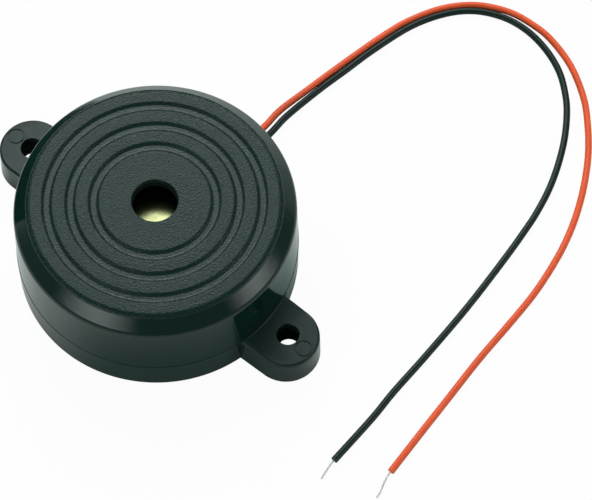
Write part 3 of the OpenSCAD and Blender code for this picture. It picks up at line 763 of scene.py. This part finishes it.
def case_outline(case, groove, ledge):
    """Outline of the turned case: up the outside, over the top with its grooves, and back inside.

    Each point is (radius, height, corner radius). The back cover lies against the ledge.
    """
    top = case.height
    ceiling = top - case.top_t
    bottom = top - groove.depth
    points = [
        (case.band_r, 0, case.foot_edge), (case.band_r, case.band_h, 0.03 * MM),
        (case.band_r - case.band_step, case.band_h, 0),
        (case.wall_r, top - case.chamfer_h, case.shoulder),
        (case.wall_r - case.chamfer_w, top, case.chamfer_edge),
    ]
    for i in reversed(range(groove.count)):
        r = groove.first_r + i * groove.pitch
        points += [
            (r + groove.mouth, top, groove.lip), (r + groove.floor, bottom, groove.toe),
            (r - groove.floor, bottom, groove.toe), (r - groove.mouth, top, groove.lip),
        ]
    points += [
        (case.hole_r, top, case.hole_edge), (case.hole_r, ceiling, 0.1 * MM),
        (case.seat_in_r, ceiling, 0), (case.seat_in_r, PLATE_TOP, 0),
        (case.seat_out_r, PLATE_TOP, 0), (case.seat_out_r, ceiling, 0),
        (case.cavity_r, ceiling, 0), (case.cavity_r, ledge, 0),
        (case.cover_bore_r, ledge, 0), (case.cover_bore_r, 0, 0),
    ]
    return rounded(points, 8)


def lug_outline(lug, z, inset):
    """Outline of a lug at one height, drawn in by inset: two straight sides and a round tip."""
    tip_r = lug.tip_r - inset
    root_r = lug.root_r - inset
    lean = math.degrees(math.acos((root_r - tip_r) / (lug.hole_x - lug.root_x)))
    tip = arc((lug.hole_x, 0), tip_r, -lean, lean, 48)
    start_x = CASE_HIGH.y - 1.25 * MM  # inside the wall
    side = tip[-1][1] + (tip[-1][0] - start_x) / math.tan(math.radians(lean))
    return [(start_x, -side, z), *[(x, y, z) for x, y in tip], (start_x, side, z)]


def lug_solid(lug):
    """A drafted lug with a rounded top edge, from inside the wall to its tip."""
    shoulder = lug.thickness - lug.edge_r
    slope = lug.draft / lug.thickness
    heights = [shoulder * i / 4 for i in range(5)]
    levels = [(z, slope * z) for z in heights]
    for r, z in arc((0, 0), lug.edge_r, 0, 90, 6)[1:]:
        levels.append((shoulder + z, slope * shoulder + lug.edge_r - r))
    return skinned("lug", [lug_outline(lug, z, inset) for z, inset in levels])


def lug_bead(case, lug):
    """A small hollow bead that eases the corner between a lug's top and the wall."""
    reach = math.degrees(math.asin((lug.root_r - lug.draft - 0.1 * MM) / case.band_r))
    root = 0.5 * MM
    inside = case.band_r - root
    below = lug.thickness - root
    corner = (case.band_r + lug.bead, lug.thickness + lug.bead)
    hollow = arc(corner, lug.bead, 180, 270, 5)
    outline = [(inside, corner[1]), *hollow, (corner[0], below), (inside, below)]
    return turned("bead", outline, segments=24, start=-reach, sweep=2 * reach)


def lug_cutters(lug):
    """What is cut from a lug: its hole, with a bevelled top edge, and the mould mark's ring."""
    top = lug.thickness
    far = 1 * MM
    bottom, above = top - lug.mark_depth, top + far
    inner, outer = lug.mark_r - lug.mark_line, lug.mark_r
    bore = [
        (0, -far), (lug.hole_r, -far), (lug.hole_r, top - lug.hole_edge),
        (lug.hole_r + lug.hole_edge + far, above), (0, above),
    ]
    ring = [(inner, bottom), (outer, bottom), (outer, above), (inner, above)]
    hole = turned("lug_hole", bore, (lug.hole_x, 0))
    for vert in hole.data.vertices:
        vert.co.x += lug.hole_lean * (1 - vert.co.z / top)
    return hole, turned("lug_mark", ring, (lug.mark_x, 0))


def exit_cutter(case, lead):
    """The slot in the wall that both leads pass through."""
    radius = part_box("lead_seal")[1].z - lead.exit_z
    half = lead.pitch / 2
    outline = arc((half, lead.exit_z), radius, -90, 90, 16) + arc((-half, lead.exit_z), radius, 90, 270, 16)
    ends = (case.cavity_r - 3 * MM, case.band_r + 1 * MM)
    return skinned("exit", [[(x, y, z) for x, z in outline] for y in ends])


class BUZZER_OT_housing(bpy.types.Operator):
    """Builds the moulded case with its grooves, lugs and sound hole"""

    bl_idname = "buzzer.housing"
    bl_label = "Housing"

    def execute(self, context):
        settings = context.scene.buzzer
        case, lug = settings.case, settings.lug
        plastic = case_plastic(settings)
        ledge = COVER_LOW.z + settings.cover.thickness
        outline = [(r, 0, z) for r, z in case_outline(case, settings.groove, ledge)]
        shell = line_object("housing_shell", [outline], closed=True)
        grow(shell, turned_tree(), Radius=case.cavity_r, Segments=case.segments, Material=plastic)
        ribs = line_object("ribs", [[(0, 0, 0)]])
        rib_reach = case.cavity_r - case.seat_out_r + 2 * OVERLAP
        rib_top = case.height - case.top_t + OVERLAP
        grow(
            ribs, ribs_tree(), Count=case.rib_count, Place=(case.cavity_r + case.seat_out_r) / 2,
            Size=(rib_reach, case.rib_w, rib_top - BOARD_TOP), Height=(rib_top + BOARD_TOP) / 2,
            Material=plastic,
        )
        added = [ribs]
        cut = [exit_cutter(case, settings.lead)]
        for turn, skew in ((0, lug.skew), (math.pi, 0)):
            hole, mark = lug_cutters(lug)
            for tools, tool, spin in (
                (added, lug_solid(lug), turn + skew), (added, lug_bead(case, lug), turn),
                (cut, hole, turn), (cut, mark, turn + skew),
            ):
                tool.data.transform(Matrix.Rotation(spin, 4, "Z"))
                tools.append(tool)
        carve(shell, added, cut)
        soften(shell)
        finish_piece(shell, plastic, "housing")
        return {"FINISHED"}


class BUZZER_OT_back_cover(bpy.types.Operator):
    """Builds the back cover with its posts"""

    bl_idname = "buzzer.back_cover"
    bl_label = "Back cover"

    def execute(self, context):
        settings = context.scene.buzzer
        cover = settings.cover
        plastic = cover_plastic(settings)
        low, rim = COVER_LOW.z, COVER_HIGH.x
        high, gate = low + cover.thickness, low + cover.gate_depth
        soft = 0.1 * MM
        outline = rounded([
            (0, gate, 0), (cover.gate_r, gate, soft), (cover.gate_r + 0.2 * MM, low, soft),
            (rim, low, cover.edge_r), (rim, high, soft), (0, high, 0),
        ])
        piece = turned("back_cover_plate", outline, segments=192)
        posts = line_object("posts", [[(0, 0, 0)]])
        grow(
            posts, posts_tree(), Count=cover.posts, Place=cover.post_place, Radius=cover.post_r,
            Length=COVER_HIGH.z - high + OVERLAP, Height=(COVER_HIGH.z + high - OVERLAP) / 2,
            Turn=math.pi / 4, Material=plastic,
        )
        carve(piece, [posts])
        soften(piece)
        finish_piece(piece, plastic, "back_cover")
        return {"FINISHED"}


# ---- the leads ----


def smooth(points, steps):
    """A smooth curve through the points, with as many steps between each two."""
    line = []
    last = len(points) - 1
    for i in range(last):
        a, b, c, d = (Vector(points[min(max(k, 0), last)]) for k in (i - 1, i, i + 1, i + 2))
        for k in range(steps):
            t = k / steps
            line.append(0.5 * (
                2 * b + (c - a) * t + (2 * a - 5 * b + 4 * c - d) * t * t
                + (3 * b - a - 3 * c + d) * t * t * t
            ))
    line.append(Vector(points[last]))
    low = min(p[2] for p in points)
    for point in line:
        point.z = max(point.z, low)
    return line


# The leads' routes in millimetres: X and the distance past the wall, with the height where they drop.
RED_FLOOR = [
    (-1.15, 10.25), (-0.1, 15.75), (0.97, 21.25), (2.02, 26.25), (3.15, 31.2), (4.66, 36.2),
    (7.58, 41.71), (11.53, 45.71), (16.55, 48.05), (21.55, 48.5), (25.45, 47.95), (30.5, 46),
    (35.5, 42.5), (38.9, 38.85), (41.85, 34.9), (44.4, 30.4), (46.4, 25.9), (47.9, 21.4),
    (49, 16.4), (49.8, 9.4), (49.85, 1.9), (49.75, -5.1), (50, -14.1), (50.15, -20.1),
    (50.4, -28.05),
]
BLACK_FLOOR = [
    (0.35, 10.25), (1.4, 17.25), (2.5, 22.75), (3.58, 28.25), (5.62, 35.66), (8.58, 41.17),
    (12.09, 44.68), (16.5, 46.65), (21, 47), (25.5, 46), (29.5, 44.05), (32.7, 41.3),
    (35, 38.55), (37.45, 34.5), (39.45, 29.95), (40.9, 25.45), (41.8, 20.95), (42.2, 17.45),
    (42.65, 11.45), (43.1, 0.95), (43.05, -10.05), (42.85, -17.5), (42.95, -23), (42.65, -31.95),
]
RED_DROP = [(-1, 3.25, 1.8), (-1.2, 6.75, 0.65)]
BLACK_DROP = [(0.6, 3.25, 1.8), (0.3, 6.75, 0.65)]

# The bare ends beyond the insulation, from its last point, with their height.
RED_BENDS = [(0.1, -1.2, 0.5), (0.3, -2.15, 0.4), (0.65, -3.25, 0.4), (0.8, -3.9, 0.4), (0.85, -4.6, 0.4)]
BLACK_BENDS = [(0.1, -1.9, 0.5), (0.3, -3.5, 0.4)]

# Each lead's side of the middle, its route, its bare end, and the roughness of its insulation.
LEADS = {
    "red": (-1, RED_DROP, RED_FLOOR, RED_BENDS, 0.42),
    "black": (1, BLACK_DROP, BLACK_FLOOR, BLACK_BENDS, 0.4),
}


def lead_route(case, lead, side, drop, floor):
    """A lead's points: inside the case, straight through the wall, down, and over the floor."""
    start = Vector((side * lead.pad_x, lead.start_y, lead.exit_z))
    gate = Vector((side * lead.pitch / 2, lead.seal_y, lead.exit_z))
    outside = Vector((gate.x, case.band_r + lead.past_wall, lead.exit_z))
    down = [(x * MM, case.band_r + y * MM, z * MM) for x, y, z in drop]
    lying = [Vector((x * MM, case.band_r + y * MM, lead.radius)) for x, y in floor]
    return [start, (start + gate) / 2, gate, outside, *down, *lying]


def core_lines(lead, route, side, bends):
    """Both bare stretches of a lead's conductor: up into the board, and past the insulation."""
    x, y, z = side * lead.pad_x, lead.pad_y, lead.exit_z
    inner = [
        (x, y, BOARD_TOP + 0.3 * MM), (x, y, z + 1 * MM), (x, y + 0.1 * MM, z + 0.4 * MM),
        (x, y + 0.6 * MM, z), route[0], route[0] + Vector((0, 0.5 * MM, 0)),
    ]
    end = route[-1]
    step = (end - route[-2]).normalized()
    outer = [end - 0.8 * MM * step, end, end + 0.6 * MM * step]
    outer += [(end.x + x * MM, end.y + y * MM, z * MM) for x, y, z in bends]
    return [smooth(inner, 6), smooth(outer, 8)]


def lead_curve(name, route, radius):
    """The insulation, as a round bevel along one open spline."""
    curve = bpy.data.curves.new(name, "CURVE")
    curve.dimensions = "3D"
    curve.bevel_depth = radius
    curve.bevel_resolution = 7
    curve.use_fill_caps = True
    line = smooth(route, 5)
    spline = curve.splines.new("POLY")
    spline.points.add(len(line) - 1)
    for point, place in zip(spline.points, line):
        point.co = (*place, 1)
    spline.use_smooth = True
    return new_object(name, curve)


class BUZZER_OT_leads(bpy.types.Operator):
    """Builds both leads and their stranded conductors"""

    bl_idname = "buzzer.leads"
    bl_label = "Leads"

    def execute(self, context):
        settings = context.scene.buzzer
        case, lead = settings.case, settings.lead
        tin = plain_finish(
            "tinned_strand", settings.finish.tin, 0.6, (0.9, 1.1), (0.45, 0.6), 0.002, Metallic=0.5
        )
        strands = strands_tree()
        for name, (side, drop, floor, bends, flush) in LEADS.items():
            route = lead_route(case, lead, side, drop, floor)
            core = line_object(f"{name}_strands", core_lines(lead, route, side, bends))
            grow(core, strands, Radius=lead.core_r, Lay=lead.lay, Material=tin)
            soften(core, 60)
            finish_piece(core, tin, f"{name}_conductor")
            cover = lead_curve(f"{name}_insulation", route, lead.radius)
            slot = f"insulation_{name}"
            coat = insulation(slot, getattr(settings.finish, name), flush)
            finish_piece(cover, coat, f"{name}_lead")
            free = getattr(lead, f"{name}_free")
        return {"FINISHED"}


# ---- what is inside ----

# Finishes of what is inside: colour, grain (mm), darkest and lightest shade, roughness from and to,
# depth (mm), metal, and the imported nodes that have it.
DIAPHRAGM_FINISHES = {
    "ceramic": ((0.62, 0.56, 0.44), 0.12, (0.94, 1.06), (0.55, 0.7), 0.01, 0, ("piezo_ceramic",)),
    "silver": (
        (0.78, 0.77, 0.74), 0.15, (0.92, 1.08), (0.38, 0.55), 0.008, 1,
        ("main_electrode", "feedback_electrode"),
    ),
    "silicone": ((0.72, 0.72, 0.69), 0.5, (0.95, 1.05), (0.3, 0.45), 0.03, 0, ("diaphragm_seal",)),
    "solder": (
        (0.66, 0.67, 0.67), 0.3, (0.9, 1.1), (0.16, 0.34), 0.015, 1,
        ("diaphragm_solder", "solder_joints"),
    ),
}
WIRE_COATS = {
    "plate_wire": (0.012, 0.014, 0.014),
    "electrode_wire": (0.62, 0.06, 0.03),
    "feedback_wire": (0.03, 0.11, 0.42),
}
BOARD_FINISHES = {
    "epoxy_black": ((0.014, 0.014, 0.015), 0.12, (0.85, 1.15), (0.5, 0.65), 0.01, 0, ("transistor",)),
    "ferrite": ((0.035, 0.037, 0.040), 0.15, (0.8, 1.2), (0.45, 0.65), 0.012, 0, ("choke_core",)),
    "sealant": ((0.014, 0.016, 0.016), 0.6, (0.85, 1.15), (0.25, 0.42), 0.05, 0, ("lead_seal",)),
}

BROWN, DARK, ORANGE, RED = (0.10, 0.035, 0.014), (0.01, 0.01, 0.01), (0.75, 0.20, 0.03), (0.55, 0.03, 0.02)
YELLOW, VIOLET, GOLD = (0.75, 0.55, 0.05), (0.16, 0.04, 0.35), (0.45, 0.30, 0.10)
RESISTORS = {
    "resistor_1": (BROWN, DARK, ORANGE, GOLD),
    "resistor_2": (YELLOW, VIOLET, RED, GOLD),
    "resistor_3": (BROWN, DARK, RED, GOLD),
}
RESISTOR_COAT = (0.58, 0.43, 0.25)
BAND_PLACES = (-2.4, -0.9, 0.3, 2.4)  # mm from a resistor's middle
DIODE_GLASS = (0.42, 0.10, 0.03)


def dress(material, *names):
    """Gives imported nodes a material."""
    for name in names:
        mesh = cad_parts[name].data
        mesh.materials.clear()
        mesh.materials.append(material)


def dress_all(finishes):
    """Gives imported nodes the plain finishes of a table."""
    for name, (*look, metal, nodes) in finishes.items():
        dress(plain_finish(name, *look, Metallic=metal), *nodes)


class BUZZER_OT_diaphragm(bpy.types.Operator):
    """Finishes the sounding disc, its solder, seal and fine wires"""

    bl_idname = "buzzer.diaphragm"
    bl_label = "Diaphragm"

    def execute(self, context):
        dress(brushed_brass(context.scene.buzzer), "diaphragm_plate")
        dress_all(DIAPHRAGM_FINISHES)
        for name, tint in WIRE_COATS.items():
            dress(plain_finish(f"{name}_coat", tint, 0.3, (0.92, 1.08), (0.32, 0.44), 0.01), name)
        return {"FINISHED"}


class BUZZER_OT_board(bpy.types.Operator):
    """Finishes the circuit board and the parts on it"""

    bl_idname = "buzzer.board"
    bl_label = "Circuit board"

    def execute(self, context):
        settings = context.scene.buzzer
        dress(hard_paper(settings), "circuit_board")
        dress_all(BOARD_FINISHES)
        copper = (settings.finish.copper, 0.2, (0.88, 1.12), (0.22, 0.42), 0.004)
        tin = (settings.finish.tin, 0.2, (0.88, 1.12), (0.2, 0.36), 0.004)
        dress(plain_finish("copper", *copper, Metallic=1), "copper_tracks")
        dress(
            plain_finish("tinned_wire", *tin, Metallic=1), "transistor_legs", "diode_wires", "choke_pins",
            *(f"{name}_wires" for name in RESISTORS),
        )
        for name, code in RESISTORS.items():
            low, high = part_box(name)
            turn = 0 if high.x - low.x > high.y - low.y else math.pi / 2
            bands = zip(BAND_PLACES, code)
            dress(banded(f"{name}_coat", name, turn, RESISTOR_COAT, bands, 0.55), name)
        dress(banded("diode_glass", "diode", math.pi / 2, DIODE_GLASS, [(-1.25, DARK)], 0.7), "diode")
        return {"FINISHED"}


class BUZZER_OT_winding(bpy.types.Operator):
    """Builds the choke's winding, turn by turn"""

    bl_idname = "buzzer.winding"
    bl_label = "Choke winding"

    def execute(self, context):
        settings = context.scene.buzzer
        coil = settings.coil
        enamel = plain_finish(
            "enamelled_copper", (0.52, 0.17, 0.06), 0.2, (0.85, 1.15), (0.2, 0.34), 0.004, Metallic=0.6
        )
        piece = line_object("choke_turns", [[(0, 0, 0)]])
        grow(
            piece, winding_tree(), Hub=coil.hub_r, Radius=(COIL_HIGH.x - COIL_LOW.x) / 2,
            Height=COIL_HIGH.z - COIL_LOW.z, Wire=coil.wire_r, Turns=coil.turns, Material=enamel,
        )
        middle = (COIL_LOW + COIL_HIGH) / 2
        piece.data.transform(Matrix.Translation((middle.x, middle.y, COIL_LOW.z)))
        soften(piece, 50)
        finish_piece(piece, enamel, "choke_winding")
        return {"FINISHED"}


# ---- the studio ----


def direction(turn, elevation):
    """Unit vector from azimuth (from +X towards +Y) and elevation, in degrees."""
    a, e = math.radians(turn), math.radians(elevation)
    return Vector((math.cos(a) * math.cos(e), math.sin(a) * math.cos(e), math.sin(e)))


def soft_lamp(name, turn, elevation, distance, size, radiance):
    """A flat lamp that faces the case: radiance is its brightness, which falls off towards its edge."""
    lamp = bpy.data.lights.new(name, "AREA")
    lamp.shape = "RECTANGLE"
    lamp.size, lamp.size_y = size
    lamp.energy = radiance * math.pi * size[0] * size[1]
    lamp.use_nodes = True
    n = Nodes(lamp.node_tree)
    middle = (0.5, 0.5, 0)
    place = n.add("NewGeometry", out="Parametric")
    off = n.add("VectorMath", place, middle, how={"operation": "SUBTRACT"})
    n.put(n.tree.nodes["Emission"].inputs["Strength"], n.spread(n.distance(off), 0, 0.5, 1, 0))
    towards = direction(turn, elevation)
    piece = new_object(name, lamp)
    piece.location = towards * distance
    piece.rotation_euler = towards.to_track_quat("Z", "Y").to_euler()
    piece.visible_camera = False


class BUZZER_OT_stage(bpy.types.Operator):
    """Sets up the floor, the lamps, the room and the camera"""

    bl_idname = "buzzer.stage"
    bl_label = "Stage"

    def execute(self, context):
        studio = context.scene.buzzer.studio
        self.floor(studio)
        self.lamps(context.scene, studio)
        self.camera(context.scene, studio)
        context.scene.view_settings.view_transform = "Standard"
        return {"FINISHED"}

    def floor(self, studio):
        bm = bmesh.new()
        bmesh.ops.create_circle(bm, cap_ends=True, radius=studio.floor_r, segments=96)
        bmesh.ops.translate(bm, verts=bm.verts, vec=(0, 0, -FLOOR_DROP))
        mesh = bpy.data.meshes.new("floor")
        bm.to_mesh(mesh)
        bm.free()
        mesh.materials.append(floor_white())
        new_object("floor", mesh)

    def lamps(self, scene, studio):
        for name, turn, elevation, distance, size, radiance in (
            ("main_lamp", 136, 44, 0.7, (1.2, 0.8), studio.key),
            ("left_lamp", -94, 24, 0.5, (0.6, 0.26), studio.side),
            ("right_lamp", 21, 20, 0.5, (0.5, 0.26), studio.side),
        ):
            soft_lamp(name, turn, elevation, distance, size, radiance)
        self.dark_card()
        world = bpy.data.worlds.new("room")
        world.use_nodes = True
        background = world.node_tree.nodes["Background"]
        background.inputs["Color"].default_value = (0.86, 1, 0.96, 1)
        background.inputs["Strength"].default_value = studio.world
        scene.world = world

    def dark_card(self):
        """A curved black card behind and at the left, out of sight, that the chamfer mirrors."""
        top = 30 * MM
        behind = range(108, 145, 6)
        left = range(150, 211, 6)
        edges = []
        for turns, radius, foot in ((behind, 54 * MM, 2 * MM), (left, 50 * MM, 0)):
            for turn in turns:
                x, y, _ = direction(turn, 0) * radius
                edges.append(((x, y, foot), (x, y, top)))
        bm = bmesh.new()
        for (a, b), (c, d) in zip(edges, edges[1:]):
            bm.faces.new([bm.verts.new(p) for p in (a, c, d, b)])
        card = from_bmesh("dark_card", bm)
        black = plain_finish("card_black", (0.01, 0.01, 0.01), 1, (0.85, 1.15), (0.8, 0.9), 0.01)
        card.data.materials.append(black)
        for ray in ("camera", "diffuse", "transmission", "shadow"):
            setattr(card, f"visible_{ray}", False)

    def camera(self, scene, studio):
        data = bpy.data.cameras.new("camera")
        data.sensor_width = 36
        data.lens = studio.lens
        data.clip_start = 0.01
        data.clip_end = 20
        camera = new_object("camera", data)
        back = direction(math.degrees(studio.turn) - 90, math.degrees(studio.elevation))
        camera.location = Vector(studio.aim) + studio.distance * back
        turn = back.to_track_quat("Z", "Y").to_matrix() @ Matrix.Rotation(studio.roll, 3, "Z")
        camera.rotation_euler = turn.to_euler()
        scene.camera = camera


# ---- add-on ----


class BUZZER_PT_panel(bpy.types.Panel):
    """Lists the pieces of the buzzer"""

    bl_label = "Piezo Buzzer"
    bl_idname = "BUZZER_PT_panel"
    bl_space_type = "VIEW_3D"
    bl_region_type = "UI"
    bl_category = "Buzzer"

    def draw(self, context):
        for operator in OPERATORS:
            self.layout.operator(operator.bl_idname)


GROUPS = (
    CaseSizes, GrooveSizes, LugSizes, CoverSizes, CoilSizes, LeadSizes, Finishes, Studio, BuzzerSettings,
)
OPERATORS = (
    BUZZER_OT_stage, BUZZER_OT_leads, BUZZER_OT_housing, BUZZER_OT_back_cover, BUZZER_OT_diaphragm,
    BUZZER_OT_board, BUZZER_OT_winding,
)
CLASSES = (*GROUPS, *OPERATORS, BUZZER_PT_panel)


def register():
    for cls in CLASSES:
        bpy.utils.register_class(cls)
    bpy.types.Scene.buzzer = PointerProperty(type=BuzzerSettings)


def unregister():
    del bpy.types.Scene.buzzer
    for cls in reversed(CLASSES):
        bpy.utils.unregister_class(cls)


def main():
    register()
    bpy.ops.buzzer.stage()
    bpy.ops.buzzer.leads()
    bpy.ops.buzzer.housing()
    bpy.ops.buzzer.back_cover()
    bpy.ops.buzzer.diaphragm()
    bpy.ops.buzzer.board()
    bpy.ops.buzzer.winding()


if __name__ == "__main__":
    main()
